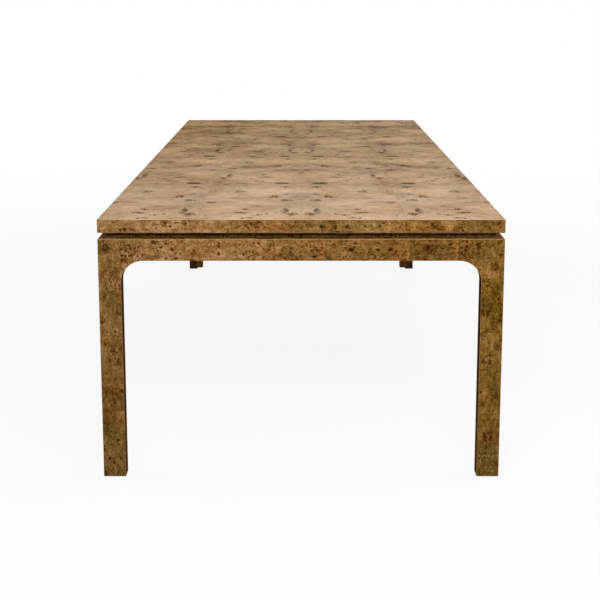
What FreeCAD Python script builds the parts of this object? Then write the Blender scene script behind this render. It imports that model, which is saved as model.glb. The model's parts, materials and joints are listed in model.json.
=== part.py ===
# Parsons dining table: a veneered slab on a recessed spacer frame and four arched base frames.
# Millimetres. X is the width, Y the length, +Z up, and the origin is on the floor under the
# table's middle. "near" is the -Y end, "left" the -X side.

import math
import os

import FreeCAD
import Part

Vector = FreeCAD.Vector

# Overall size
table_length = 2438.0
table_width = 1143.0
table_height = 762.0

# Slab: two core sheets between a burl face veneer and a balancing veneer, with veneered edges
core_sheet = 18.0
veneer = 1.0
eased_arris = 0.4
top_leaf_width = 295.0  # across the table, from the centre joint outwards
top_leaf_length = 305.0  # along the table, rounded to equal rows
slab_edge_leaves = (376.0, 499.0)

# Recessed spacer frame between slab and base
spacer_thickness = 18.0
spacer_width = 80.0
reveal_inset = 20.0

# Base: four arched frames of the same section, two ends and two sides
apron_height = 62.0
leg_width = 63.5
inside_radius = 63.5
board_thickness = 38.0
corner_leaf_drop = 52.0  # how far the veneer leaf of a corner comes down below the apron
apron_leaves = (117.0, 234.0, 164.0, 235.0)
leg_leaves = {"left": (166.0, 222.0), "right": (157.0, 260.0, 103.0)}
smallest_leaf = 60.0

# Loose tenons, dowels and their holes
tenon_length = 50.0
tenon_thickness = 10.0
rail_tenon_width = 36.0
leg_tenon_width = 40.0
return_tenon_width = 14.0
mortise_end_gap = 1.0
dowel_radius = 4.0
dowel_in_leg = 20.0
dowel_in_return = 14.0
dowel_from_ends = 57.0
dowels_per_leg = 4
dowel_from_apron_edge = 19.0

# Cross battens under the slab and corner blocks behind the aprons
batten_count = 3
batten_thickness = 45.0
batten_drop = 46.0  # below the top of the base
corner_block_leg = 70.0
corner_block_height = 46.0

# Countersunk wood screws
screw_radius = 2.2
screw_head_radius = 4.4
screw_head_height = 2.6
screw_tip = 5.0
long_screw = 45.0
short_screw = 35.0
counterbore_radius = 5.5
screw_pitch = 280.0
slab_screw_from_edge = 76.0
batten_screw_from_edge = 54.0
slab_screws_per_batten = 3
slab_screws_per_bay = 2
block_screw_from_corner = 20.0
block_screw_head_depth = 25.0
block_screw_offset = 10.0  # above and below the block's middle, so that the two pass each other

# Nail-on glides
glide_height = 3.0
glide_radius = 11.0
glide_chamfer = 0.8
nail_radius = 1.2
nail_head_radius = 2.6
nail_head_height = 1.0
nail_length = 20.0

# Levels and depths that follow
slab_thickness = 2 * core_sheet + 2 * veneer
slab_bottom = table_height - slab_thickness
base_top = slab_bottom - spacer_thickness
apron_bottom = base_top - apron_height
leg_bottom = glide_height
frame_depth = board_thickness + 2 * veneer
tangent_level = apron_bottom - inside_radius
corner_reach = leg_width + inside_radius
board_middle = veneer + board_thickness / 2
spacer_edge = reveal_inset + veneer
half_length = table_length / 2
half_width = table_width / 2


def block(x, y, z):
    """A box from three (low, high) pairs."""
    corner = Vector(x[0], y[0], z[0])
    return Part.makeBox(x[1] - x[0], y[1] - y[0], z[1] - z[0], corner)


def slices(shape, axis, cuts):
    """The solids that planes across an axis cut a shape into, from low to high."""
    bounds = shape.BoundBox
    spans = [
        (bounds.XMin - 1, bounds.XMax + 1),
        (bounds.YMin - 1, bounds.YMax + 1),
        (bounds.ZMin - 1, bounds.ZMax + 1),
    ]
    low, high = spans[axis]
    stops = [low] + [cut for cut in sorted(cuts) if low + 1 < cut < high - 1] + [high]
    pieces = []
    for start, end in zip(stops, stops[1:]):
        spans[axis] = (start, end)
        pieces += shape.common(block(*spans)).Solids
    return pieces


def leaf_joints(start, end, widths):
    """Joints of veneer leaves laid in turn from start; the last leaf takes what is left."""
    towards = 1 if end > start else -1
    joints = []
    at = start
    turn = 0
    while abs(end - at) - widths[turn % len(widths)] >= smallest_leaf:
        at += towards * widths[turn % len(widths)]
        joints.append(at)
        turn += 1
    return joints


def eased(shape, chosen):
    """A sheet whose edges are eased where both ends of an edge are chosen."""
    edges = [e for e in shape.Edges if all(chosen(v.Point) for v in e.Vertexes)]
    return shape.makeChamfer(eased_arris, edges)


def bored(shape, tools):
    """A piece with the holes of every screw, tenon or dowel that reaches it."""
    near = [tool for tool in tools if tool.BoundBox.intersect(shape.BoundBox)]
    return shape.cut(near) if near else shape


def turned(profile):
    """A solid of revolution about Z from (radius, level) points."""
    points = [Vector(radius, 0, level) for radius, level in profile]
    face = Part.Face(Part.makePolygon(points + points[:1]))
    return face.revolve(Vector(0, 0, 0), Vector(0, 0, 1), 360)


def aimed(shape, at, direction):
    """A shape that points down, set with its head at a place and pointing another way."""
    result = shape.copy()
    turn = FreeCAD.Rotation(Vector(0, 0, -1), direction)
    result.Placement = FreeCAD.Placement(at, turn)
    return result


def wood_screw(length):
    """A countersunk screw, its head flush at the origin and its tip below."""
    profile = [
        (0, 0),
        (screw_head_radius, 0),
        (screw_radius, -screw_head_height),
        (screw_radius, -length + screw_tip),
        (0, -length),
    ]
    return turned(profile)


def even(start, end, count):
    """Places spread evenly between two ends, half a step from each."""
    step = (end - start) / count
    return [start + (index + 0.5) * step for index in range(count)]


# Base frames. Each is built along U from -span/2 to span/2, with D from the outer face inwards.


class BaseFrame:
    """One arched frame: where it stands, how far its layers reach and what its ends are called."""

    def __init__(self, name, span, turn, origin, is_end, ends):
        self.name = name
        self.span = span
        self.place = FreeCAD.Placement(origin, FreeCAD.Rotation(Vector(0, 0, 1), turn))
        self.is_end = is_end
        self.ends = ends
        # The ends run through at the corners and the sides fit between them.
        self.outer_reach = 0.0 if is_end else veneer
        self.core_reach = veneer if is_end else veneer + board_thickness
        self.inner_reach = veneer + board_thickness if is_end else frame_depth

    def placed(self, shape):
        result = shape.copy()
        result.Placement = self.place.multiply(shape.Placement)
        return result

    def opening(self, grow, depth):
        """The space under the arch with rounded upper corners, grown by a layer."""
        half = self.span / 2 - leg_width + grow
        top = apron_bottom + grow
        radius = inside_radius + grow
        level = top - radius
        slant = radius * math.sqrt(0.5)
        middle = half - radius
        below = leg_bottom - 10
        left_arc = Part.Arc(
            Vector(-half, depth[0], level),
            Vector(-middle - slant, depth[0], level + slant),
            Vector(-middle, depth[0], top),
        )
        right_arc = Part.Arc(
            Vector(middle, depth[0], top),
            Vector(middle + slant, depth[0], level + slant),
            Vector(half, depth[0], level),
        )
        foot_left = Vector(-half, depth[0], below)
        foot_right = Vector(half, depth[0], below)
        edges = [
            Part.makeLine(foot_left, Vector(-half, depth[0], level)),
            left_arc.toShape(),
            Part.makeLine(Vector(-middle, depth[0], top), Vector(middle, depth[0], top)),
            right_arc.toShape(),
            Part.makeLine(Vector(half, depth[0], level), foot_right),
            Part.makeLine(foot_right, foot_left),
        ]
        return Part.Face(Part.Wire(edges)).extrude(Vector(0, depth[1] - depth[0], 0))

    def arch(self, reach, grow, top, depth):
        half = self.span / 2 - reach
        whole = block((-half, half), depth, (leg_bottom, top))
        return whole.cut(self.opening(grow, depth))

    def boards(self):
        """The rail, two corner pieces and two leg boards, as name and solid."""
        depth = (veneer, veneer + board_thickness)
        core = self.arch(self.core_reach, veneer, base_top - veneer, depth)
        turn = self.span / 2 - corner_reach
        low_end, rail, high_end = slices(core, 0, [-turn, turn])
        result = [(f"{self.name}_rail", rail)]
        for end, half in zip(self.ends, (low_end, high_end)):
            leg, corner = slices(half, 2, [tangent_level])
            result.append((f"{self.name}_corner_{end}", corner))
            result.append((f"{self.name}_leg_{end}", leg))
        return [(name, self.placed(shape)) for name, shape in result]

    def tenons(self, end_gap):
        """Loose tenons across the joints, longer by the end gap when they cut mortises."""
        middle_of_rail = (apron_bottom + base_top) / 2
        length = tenon_length + 2 * end_gap
        board_low = self.core_reach
        middle_of_leg = (board_low + leg_width - veneer) / 2
        leg_tenon = leg_tenon_width if self.is_end else return_tenon_width
        result = []
        for side in (-1, 1):
            at_rail = Vector(side * (self.span / 2 - corner_reach), board_middle, middle_of_rail)
            result.append(loose_tenon(at_rail, length, rail_tenon_width, lying=True))
            at_leg = Vector(side * (self.span / 2 - middle_of_leg), board_middle, tangent_level)
            result.append(loose_tenon(at_leg, length, leg_tenon, lying=False))
        return [self.placed(shape) for shape in result]

    def leaves(self, sheet):
        """A veneer sheet over the arch, cut into its leaves."""
        turn = self.span / 2 - corner_reach
        joints = leaf_joints(-turn, turn, apron_leaves)
        low_end, *rail, high_end = slices(sheet, 0, [-turn, *joints, turn])
        corner_bottom = apron_bottom - corner_leaf_drop
        result = list(rail)
        for lengths, half in zip(leg_leaves.values(), (low_end, high_end)):
            down = leaf_joints(corner_bottom, leg_bottom, lengths)
            result += slices(half, 2, [corner_bottom, *down])
        return result

    def face_veneer(self):
        sheet = self.arch(self.outer_reach, 0, base_top, (0, veneer))
        ends_show = self.span / 2 + (1 if self.is_end else -self.outer_reach - 0.01)
        sheet = eased(sheet, lambda p: p.y < 0.01 and abs(p.x) < ends_show)
        return [self.placed(leaf) for leaf in self.leaves(sheet)]

    def inside_veneer(self):
        depth = (veneer + board_thickness, frame_depth)
        sheet = self.arch(self.inner_reach, 0, base_top, depth)
        edge_of_opening = self.span / 2 - leg_width + 0.01

        def beside_opening(p):
            inside = abs(p.x) < edge_of_opening and p.z < apron_bottom + 0.01
            return p.y > frame_depth - 0.01 and inside

        return [self.placed(leaf) for leaf in self.leaves(eased(sheet, beside_opening))]

    def lining(self):
        """The veneer on the arch's inner edge: legs, two bends and the soffit."""
        depth = (veneer, veneer + board_thickness)
        strip = self.opening(veneer, depth).cut(self.opening(0, depth))
        below = block(
            (-self.span, self.span), (-1, frame_depth + 1), (-table_height, leg_bottom)
        )
        turn = self.span / 2 - corner_reach
        joints = leaf_joints(-turn, turn, apron_leaves)
        result = []
        for part in slices(strip.cut(below), 0, [-turn, *joints, turn]):
            result += slices(part, 2, [tangent_level])
        return [self.placed(leaf) for leaf in result]

    def ledge(self):
        half = self.span / 2 - self.core_reach
        depth = (veneer, veneer + board_thickness)
        strip = block((-half, half), depth, (base_top - veneer, base_top))
        joints = leaf_joints(-half, half, apron_leaves)
        return [self.placed(leaf) for leaf in slices(strip, 0, joints)]

    def from_edge(self, along, depth, level):
        """A place in the table from one along this frame, inside its outer face."""
        return self.place.multVec(Vector(along, depth, level))

    def inwards(self):
        return self.place.Rotation.multVec(Vector(0, 1, 0))


def loose_tenon(middle, length, width, lying):
    """A flat tenon with round edges. It lies along U, or stands along Z."""
    radius = tenon_thickness / 2
    flat = width / 2 - radius
    left = Part.Arc(Vector(-flat, -radius, 0), Vector(-flat - radius, 0, 0), Vector(-flat, radius, 0))
    right = Part.Arc(Vector(flat, radius, 0), Vector(flat + radius, 0, 0), Vector(flat, -radius, 0))
    edges = [
        left.toShape(),
        Part.makeLine(Vector(-flat, radius, 0), Vector(flat, radius, 0)),
        right.toShape(),
        Part.makeLine(Vector(flat, -radius, 0), Vector(-flat, -radius, 0)),
    ]
    tenon = Part.Face(Part.Wire(edges)).extrude(Vector(0, 0, length))
    tenon.translate(Vector(0, 0, -length / 2))
    if lying:
        tenon.rotate(Vector(0, 0, 0), Vector(0, 1, 0), 90)
    tenon.translate(middle)
    return tenon


near_end = BaseFrame(
    "near_end", table_width, 0, Vector(0, -half_length, 0), True, ("left", "right")
)
far_end = BaseFrame(
    "far_end", table_width, 180, Vector(0, half_length, 0), True, ("right", "left")
)
right_side = BaseFrame(
    "right_side", table_length, 90, Vector(half_width, 0, 0), False, ("near", "far")
)
left_side = BaseFrame(
    "left_side", table_length, -90, Vector(-half_width, 0, 0), False, ("far", "near")
)
frames = (near_end, far_end, left_side, right_side)
corner_signs = [(x, y) for x in (-1, 1) for y in (-1, 1)]


# Dowels between the end legs and the side legs that return from them


def dowel_levels():
    low = leg_bottom + dowel_from_ends
    step = (tangent_level - tenon_length / 2 - dowel_from_apron_edge - low) / (dowels_per_leg - 1)
    in_leg = [low + index * step for index in range(dowels_per_leg)]
    in_corner = [
        apron_bottom - dowel_from_apron_edge,
        base_top - dowel_from_apron_edge - spacer_thickness,
    ]
    return in_leg + in_corner


def leg_dowels():
    joint = veneer + board_thickness
    result = []
    for x, y in corner_signs:
        for level in dowel_levels():
            start = Vector(x * (half_width - board_middle), y * (half_length - joint), level)
            start.y += y * dowel_in_leg
            length = dowel_in_leg + dowel_in_return
            result.append(Part.makeCylinder(dowel_radius, length, start, Vector(0, -y, 0)))
    return result


# Slab


def slab_cores():
    x = (-half_width + veneer, half_width - veneer)
    y = (-half_length + veneer, half_length - veneer)
    low = slab_bottom + veneer
    lower = block(x, y, (low, low + core_sheet))
    upper = block(x, y, (low + core_sheet, low + 2 * core_sheet))
    return lower, upper


def top_face():
    """The face veneer's leaves, and on which side of the centre joint each lies."""
    x = (-half_width, half_width)
    y = (-half_length, half_length)
    sheet = block(x, y, (table_height - veneer, table_height))
    sheet = eased(sheet, lambda p: p.z > table_height - 0.01)
    across = leaf_joints(0, half_width, (top_leaf_width,))
    rows = max(1, round(table_length / top_leaf_length))
    along = [row * table_length / rows - half_length for row in range(1, rows)]
    leaves = []
    for row in slices(sheet, 1, along):
        leaves += slices(row, 0, [0, *across, *[-joint for joint in across]])
    left = [leaf for leaf in leaves if leaf.CenterOfMass.x < 0]
    right = [leaf for leaf in leaves if leaf.CenterOfMass.x > 0]
    return left, right


def slab_backing():
    x = (-half_width, half_width)
    y = (-half_length, half_length)
    sheet = block(x, y, (slab_bottom, slab_bottom + veneer))
    return eased(sheet, lambda p: p.z < slab_bottom + 0.01)


def slab_edges():
    """Edge bands by side: the two end bands run through and the side bands fit between."""
    level = (slab_bottom + veneer, table_height - veneer)
    end_reach = (-half_width, half_width)
    side_reach = (-half_length + veneer, half_length - veneer)
    across = leaf_joints(*end_reach, slab_edge_leaves)
    along = leaf_joints(*side_reach, slab_edge_leaves)
    bands = {}
    for side, sign in (("near", -1), ("far", 1)):
        y = sorted((sign * half_length, sign * (half_length - veneer)))
        band = eased(
            block(end_reach, y, level),
            lambda p, sign=sign: abs(p.y - sign * half_length) < 0.01,
        )
        bands[side] = slices(band, 0, across)
    for side, sign in (("left", -1), ("right", 1)):
        x = sorted((sign * half_width, sign * (half_width - veneer)))
        bands[side] = slices(block(x, side_reach, level), 1, along)
    return bands


# Spacer frame: the end rails run through and the side rails fit between them.


def spacer_rails():
    level = (base_top, slab_bottom)
    x_edge = half_width - spacer_edge
    y_edge = half_length - spacer_edge
    y_inner = y_edge - spacer_width
    x_inner = x_edge - spacer_width
    return {
        "near": block((-x_edge, x_edge), (-y_edge, -y_inner), level),
        "far": block((-x_edge, x_edge), (y_inner, y_edge), level),
        "left": block((-x_edge, -x_inner), (-y_inner, y_inner), level),
        "right": block((x_inner, x_edge), (-y_inner, y_inner), level),
    }


def reveal_veneer():
    level = (base_top, slab_bottom)
    x_face = half_width - reveal_inset
    y_face = half_length - reveal_inset
    across = leaf_joints(-x_face, x_face, apron_leaves)
    along = leaf_joints(-y_face, y_face, apron_leaves)
    leaves = []
    for sign in (-1, 1):
        y = sorted((sign * y_face, sign * (y_face - veneer)))
        leaves += slices(block((-x_face, x_face), y, level), 0, across)
        x = sorted((sign * x_face, sign * (x_face - veneer)))
        side = block(x, (-y_face + veneer, y_face - veneer), level)
        leaves += slices(side, 1, along)
    return leaves


# Battens and corner blocks


def batten_places():
    bay = (table_length - 2 * frame_depth) / (batten_count + 1)
    return [bay * (index + 1) - half_length + frame_depth for index in range(batten_count)]


def cross_batten(y_middle):
    """A batten between the side frames, notched at its ends under the spacer rails."""
    y = (y_middle - batten_thickness / 2, y_middle + batten_thickness / 2)
    x_end = half_width - frame_depth
    x_notch = half_width - spacer_edge - spacer_width
    bottom = base_top - batten_drop
    lower = block((-x_end, x_end), y, (bottom, base_top))
    upper = block((-x_notch, x_notch), y, (bottom, slab_bottom))
    batten = lower.fuse(upper).removeSplitter()
    for x in even(-x_notch, x_notch, slab_screws_per_batten):
        hole = Part.makeCylinder(counterbore_radius, batten_drop, Vector(x, y_middle, bottom))
        batten = batten.cut(hole)
    return batten


def corner_block(x_sign, y_sign):
    """A triangular block in the angle of two aprons, with counterbored screw holes."""
    top = base_top
    bottom = base_top - corner_block_height
    corner = Vector(x_sign * (half_width - frame_depth), y_sign * (half_length - frame_depth), bottom)
    along_x = corner + Vector(-x_sign * corner_block_leg, 0, 0)
    along_y = corner + Vector(0, -y_sign * corner_block_leg, 0)
    face = Part.Face(Part.makePolygon([corner, along_x, along_y, corner]))
    shape = face.extrude(Vector(0, 0, top - bottom))
    for at, direction in block_screw_places(x_sign, y_sign):
        outwards = direction * -1
        shape = shape.cut(
            Part.makeCylinder(counterbore_radius, corner_block_leg, at, outwards)
        )
    return shape


def block_screw_places(x_sign, y_sign):
    """Head and direction of a corner block's two screws, one into each apron."""
    middle = base_top - corner_block_height / 2
    x_face = half_width - frame_depth
    y_face = half_length - frame_depth
    into_end = Vector(
        x_sign * (x_face - block_screw_from_corner),
        y_sign * (y_face - block_screw_head_depth),
        middle + block_screw_offset,
    )
    into_side = Vector(
        x_sign * (x_face - block_screw_head_depth),
        y_sign * (y_face - block_screw_from_corner),
        middle - block_screw_offset,
    )
    return [(into_end, Vector(0, y_sign, 0)), (into_side, Vector(x_sign, 0, 0))]


# Screws


def spacer_screws():
    """Long screws down through the spacer rails into the frames and the batten ends."""
    screw = wood_screw(long_screw)
    down = Vector(0, 0, -1)
    in_board = (spacer_edge + veneer + board_thickness) / 2
    result = []
    for frame in frames:
        reach = frame.span / 2 - corner_reach
        count = max(2, round(2 * reach / screw_pitch))
        for along in even(-reach, reach, count):
            result.append(aimed(screw, frame.from_edge(along, in_board, slab_bottom), down))
    for y in batten_places():
        for sign in (-1, 1):
            x = sign * (half_width - batten_screw_from_edge)
            result.append(aimed(screw, Vector(x, y, slab_bottom), down))
    return result


def block_screws():
    screw = wood_screw(long_screw)
    result = []
    for x_sign, y_sign in corner_signs:
        for at, direction in block_screw_places(x_sign, y_sign):
            result.append(aimed(screw, at, direction))
    return result


def slab_screws():
    """Short screws up into the slab, through the spacer rails and the battens."""
    screw = wood_screw(short_screw)
    up = Vector(0, 0, 1)
    x_edge = half_width - slab_screw_from_edge
    y_edge = half_length - slab_screw_from_edge
    inner_x = half_width - spacer_edge - spacer_width
    clear = half_length - frame_depth - corner_block_leg
    places = []
    for x in even(-inner_x, inner_x, max(2, round(2 * inner_x / screw_pitch))):
        places += [(x, -y_edge), (x, y_edge)]
    stops = [-clear, *batten_places(), clear]
    for low, high in zip(stops, stops[1:]):
        for y in even(low, high, slab_screws_per_bay):
            places += [(-x_edge, y), (x_edge, y)]
    for y in batten_places():
        places += [(x, y) for x in even(-inner_x, inner_x, slab_screws_per_batten)]
    return [aimed(screw, Vector(x, y, base_top), up) for x, y in places]


# Foot glides, each on the thick corner of a leg


def glide_places():
    return [
        (x * (half_width - board_middle), y * (half_length - board_middle))
        for x, y in corner_signs
    ]


def glide_nail():
    profile = [
        (0, 0),
        (nail_head_radius, 0),
        (nail_head_radius, nail_head_height),
        (nail_radius, nail_head_height),
        (nail_radius, nail_length - nail_radius * 2),
        (0, nail_length),
    ]
    return turned(profile)


def foot_glides():
    """Nylon glides and their nails. A nail's head is sunk by its own height."""
    profile = [
        (0, 0),
        (glide_radius - glide_chamfer, 0),
        (glide_radius, glide_chamfer),
        (glide_radius, glide_height),
        (0, glide_height),
    ]
    glide = turned(profile)
    recess = Part.makeCylinder(nail_head_radius, nail_head_height * 2)
    glides = []
    nails = []
    for x, y in glide_places():
        nail = glide_nail()
        nail.translate(Vector(0, 0, nail_head_height))
        disc = glide.cut([recess, nail])
        disc.translate(Vector(x, y, 0))
        nail.translate(Vector(x, y, 0))
        glides.append(disc)
        nails.append(nail)
    return glides, nails


def build():
    """Every node by name, each a list of solids."""
    glides, nails = foot_glides()
    long_screws = spacer_screws() + block_screws()
    short_screws = slab_screws()
    dowels = leg_dowels()
    tenons = [tenon for frame in frames for tenon in frame.tenons(0)]
    mortises = [tenon for frame in frames for tenon in frame.tenons(mortise_end_gap)]
    metal = long_screws + short_screws + nails

    lower, upper = slab_cores()
    left, right = top_face()
    nodes = {
        "top_veneer_left": left,
        "top_veneer_right": right,
        "top_core_upper": [upper],
        "top_core_lower": [bored(lower, short_screws)],
        "top_backing_veneer": [bored(slab_backing(), short_screws)],
    }
    for side, leaves in slab_edges().items():
        nodes[f"top_edge_band_{side}"] = leaves
    for side, rail in spacer_rails().items():
        nodes[f"spacer_rail_{side}"] = [bored(rail, metal)]
    nodes["reveal_veneer"] = reveal_veneer()

    ledges = []
    for frame in frames:
        for name, board in frame.boards():
            nodes[name] = [bored(board, mortises + dowels + metal)]
        nodes[f"{frame.name}_face_veneer"] = frame.face_veneer()
        nodes[f"{frame.name}_inside_veneer"] = [
            bored(leaf, metal) for leaf in frame.inside_veneer()
        ]
        nodes[f"{frame.name}_arch_lining"] = frame.lining()
        ledges += [bored(leaf, metal) for leaf in frame.ledge()]
    nodes["ledge_veneer"] = ledges

    for index, y in enumerate(batten_places()):
        nodes[f"cross_batten_{index + 1}"] = [bored(cross_batten(y), metal)]
    nodes["corner_blocks"] = [bored(corner_block(x, y), metal) for x, y in corner_signs]
    nodes["loose_tenons"] = tenons
    nodes["leg_dowels"] = dowels
    nodes["base_screws"] = long_screws
    nodes["slab_screws"] = short_screws
    nodes["foot_glides"] = glides
    nodes["glide_nails"] = nails
    return nodes


os.makedirs("parts", exist_ok=True)
for node_name, pieces in build().items():
    solids = [solid for piece in pieces for solid in piece.Solids]
    shape_out = solids[0] if len(solids) == 1 else Part.makeCompound(solids)
    shape_out.exportStep(f"parts/{node_name}.step")
    print(node_name, len(solids), round(sum(s.Volume for s in solids) / 1000), "cm3")
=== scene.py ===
import json
import math

import bmesh
import bpy
from mathutils import Matrix, Vector


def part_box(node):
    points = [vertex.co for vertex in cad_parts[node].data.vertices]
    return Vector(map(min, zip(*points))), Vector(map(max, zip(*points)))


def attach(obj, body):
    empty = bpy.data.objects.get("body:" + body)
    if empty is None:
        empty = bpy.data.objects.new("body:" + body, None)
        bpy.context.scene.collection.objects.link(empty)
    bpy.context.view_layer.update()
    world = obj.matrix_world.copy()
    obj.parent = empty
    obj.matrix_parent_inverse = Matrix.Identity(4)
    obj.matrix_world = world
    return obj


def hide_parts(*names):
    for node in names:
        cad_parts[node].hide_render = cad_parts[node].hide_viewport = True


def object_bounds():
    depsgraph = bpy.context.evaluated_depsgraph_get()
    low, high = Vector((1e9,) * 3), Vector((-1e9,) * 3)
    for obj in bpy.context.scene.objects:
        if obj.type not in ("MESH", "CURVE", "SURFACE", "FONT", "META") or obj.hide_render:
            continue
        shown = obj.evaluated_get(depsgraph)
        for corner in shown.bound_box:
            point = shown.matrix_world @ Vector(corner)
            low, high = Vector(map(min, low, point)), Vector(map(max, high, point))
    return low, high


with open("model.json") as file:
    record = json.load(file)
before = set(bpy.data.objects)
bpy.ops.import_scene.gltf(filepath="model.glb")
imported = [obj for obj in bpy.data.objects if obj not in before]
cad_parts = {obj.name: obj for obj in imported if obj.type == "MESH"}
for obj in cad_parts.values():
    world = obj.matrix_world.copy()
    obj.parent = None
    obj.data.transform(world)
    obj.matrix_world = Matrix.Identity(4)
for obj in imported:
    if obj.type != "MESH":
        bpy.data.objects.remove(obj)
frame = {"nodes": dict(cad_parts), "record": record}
cadLow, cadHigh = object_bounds()

# Sizes of the table, read from the solids it is built on: metres, Z up, the near end towards -Y
halfWidth, halfLength, tableTop = cadHigh
faceLow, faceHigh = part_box("near_end_face_veneer")
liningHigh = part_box("near_end_arch_lining")[1]
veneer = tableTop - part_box("top_veneer_left")[0].z
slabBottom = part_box("top_backing_veneer")[0].z
apronTop, legBottom = faceHigh.z, faceLow.z
apronBottom = liningHigh.z - veneer
legWidth = halfWidth - (liningHigh.x - veneer)
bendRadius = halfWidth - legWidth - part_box("near_end_rail")[1].x
bendLevel = apronBottom - bendRadius
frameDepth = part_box("near_end_inside_veneer")[1].y + halfLength
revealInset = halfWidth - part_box("reveal_veneer")[1].x
slotOf = {part["node"]: part["material_slot"] for part in frame["record"]["subparts"]}
print("frame loaded:", len(frame["nodes"]), "nodes")


def layStops(ramp, stops):
    # the ramp comes with two stops, which become the first and the last
    for index, (at, shade) in enumerate(stops):
        stop = ramp.elements[index] if index < 2 else ramp.elements.new(at)
        stop.position = at
        stop.color = shade


def maths(operation, reflected=False):
    # an operator that adds a Math node
    def operator(wire, other):
        return wire.sum(operation, *((other, wire) if reflected else (wire, other)))
    return operator


class Wire:
    # one output of a node: sums on it add Math nodes, and add() makes any other node

    def __init__(self, tree, socket=None):
        self.tree = tree
        self.socket = socket

    def add(self, kind, settings, inputs, output=0):
        node = self.tree.nodes.new(kind)
        for name, value in settings.items():
            if name == "stops":
                layStops(node.color_ramp, value)
            else:
                setattr(node, name, value)
        for name, value in inputs.items():
            for wire in value if isinstance(value, list) else [value]:
                if isinstance(wire, Wire):
                    self.tree.links.new(wire.socket, node.inputs[name])
                else:
                    node.inputs[name].default_value = wire
        return Wire(self.tree, node.outputs[output] if len(node.outputs) else None)

    def also(self, output):
        return Wire(self.tree, self.socket.node.outputs[output])

    def outs(self, *outputs):
        return [self.also(output) for output in outputs]

    def sum(self, operation, *values):
        return self.add("ShaderNodeMath", {"operation": operation}, dict(enumerate(values)))

    __add__, __radd__ = maths("ADD"), maths("ADD", True)
    __sub__, __rsub__ = maths("SUBTRACT"), maths("SUBTRACT", True)
    __mul__, __rmul__ = maths("MULTIPLY"), maths("MULTIPLY", True)
    __truediv__ = maths("DIVIDE")
    least, most, over = maths("MINIMUM"), maths("MAXIMUM"), maths("GREATER_THAN")

    def span(self, low, high):
        # 0 to 1 becomes low to high
        return self * (high - low) + low

    def waves(self, count, shift=0.0):
        return self.sum("SINE", self * (count * 2 * math.pi) + shift)

    def rise(self, low, high):
        # 0 at low, 1 at high and smooth between; it falls where low is the larger
        ends = {"Value": self, "From Min": low, "From Max": high}
        return self.add("ShaderNodeMapRange", {"interpolation_type": "SMOOTHSTEP"}, ends)

    def vector(self, operation, other, output="Vector"):
        return self.add("ShaderNodeVectorMath", {"operation": operation}, {0: self, 1: other}, output)

    def times(self, factors):
        return self.vector("MULTIPLY", factors)

    def length(self):
        return self.vector("LENGTH", (0, 0, 0), "Value")

    def scaled(self, factor):
        return self.add("ShaderNodeVectorMath", {"operation": "SCALE"}, {0: self, "Scale": factor})

    def tint(self, under, over):
        # this value lays one colour over another
        return self.add("ShaderNodeMix", {"data_type": "RGBA"}, {0: self, 6: under, 7: over}, 2)

    def ramp(self, stops):
        return self.add("ShaderNodeValToRGB", {"stops": stops}, {"Fac": self})

    def noise(self, scale, detail=2.0, roughness=0.5, output="Fac"):
        inputs = {"Vector": self, "Scale": scale, "Detail": detail, "Roughness": roughness}
        return self.add("ShaderNodeTexNoise", {"noise_dimensions": "3D"}, inputs, output)

    def patches(self, scale, detail, roughness, low, high):
        return self.noise(scale, detail, roughness).rise(low, high)

    def named(self, name):
        # an attribute of the geometry, read in a geometry tree
        kind = {"data_type": "FLOAT_VECTOR"}
        return self.add("GeometryNodeInputNamedAttribute", kind, {"Name": name})

    def kept(self, name, value, shape, kind, domain):
        # the shape with a value stored on it under this name
        store = {"Geometry": shape, "Name": name, "Value": value}
        return self.add("GeometryNodeStoreNamedAttribute", {"data_type": kind, "domain": domain}, store)

    def bent(self, scale, reach):
        # this place pushed about by soft noise, so that a pattern on it curls
        push = self.noise(scale, output="Color").vector("SUBTRACT", (0.5, 0.5, 0.5))
        return push.scaled(reach).vector("ADD", self)

    def parts(self):
        return self.add("ShaderNodeSeparateXYZ", {}, {"Vector": self}).outs(0, 1, 2)

    def point(self, x=0.0, y=0.0, z=0.0):
        return self.add("ShaderNodeCombineXYZ", {}, {"X": x, "Y": y, "Z": z})


def colour(red, green, blue):
    # a display colour of 0 to 255 as the linear colour that a shader takes
    steps = [value / 255 for value in (red, green, blue)]
    linear = [s / 12.92 if s <= 0.04045 else ((s + 0.055) / 1.055) ** 2.4 for s in steps]
    return (*linear, 1)


def emptyNodes(data):
    # the node tree of a new material or world
    data.use_nodes = True
    data.node_tree.nodes.clear()
    return Wire(data.node_tree)


def newMaterial(name):
    return emptyNodes(bpy.data.materials.new(name))


def newObject(name, data):
    thing = bpy.data.objects.new(name, data)
    bpy.context.collection.objects.link(thing)
    return thing


def attribute(start, name, output="Vector"):
    return start.add("ShaderNodeAttribute", {"attribute_name": name}, {}, output)


def objectPlace(start):
    return start.add("ShaderNodeTexCoord", {}, {}, "Object")


def finished(name, start, its, ground, roughness, height, metallic=0.0):
    # relief is how far, in metres, the bump stands for from height 0 to 1
    bump = {"Height": height, "Distance": its["relief"], "Strength": 1.0}
    surface = {"Base Color": ground, "Roughness": roughness, "Metallic": metallic,
               "Specular IOR Level": its["gloss"], "Normal": start.add("ShaderNodeBump", {}, bump)}
    shader = start.add("ShaderNodeBsdfPrincipled", {}, surface)
    start.add("ShaderNodeOutputMaterial", {}, {"Surface": shader})
    return bpy.data.materials[name]


# Veneer leaves. A sheet lies in its own plane: U along it, V across it and D into the wood.
# A leaf's cut is where on the burl log it was sliced, and its flip is which way round it is laid.

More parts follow.
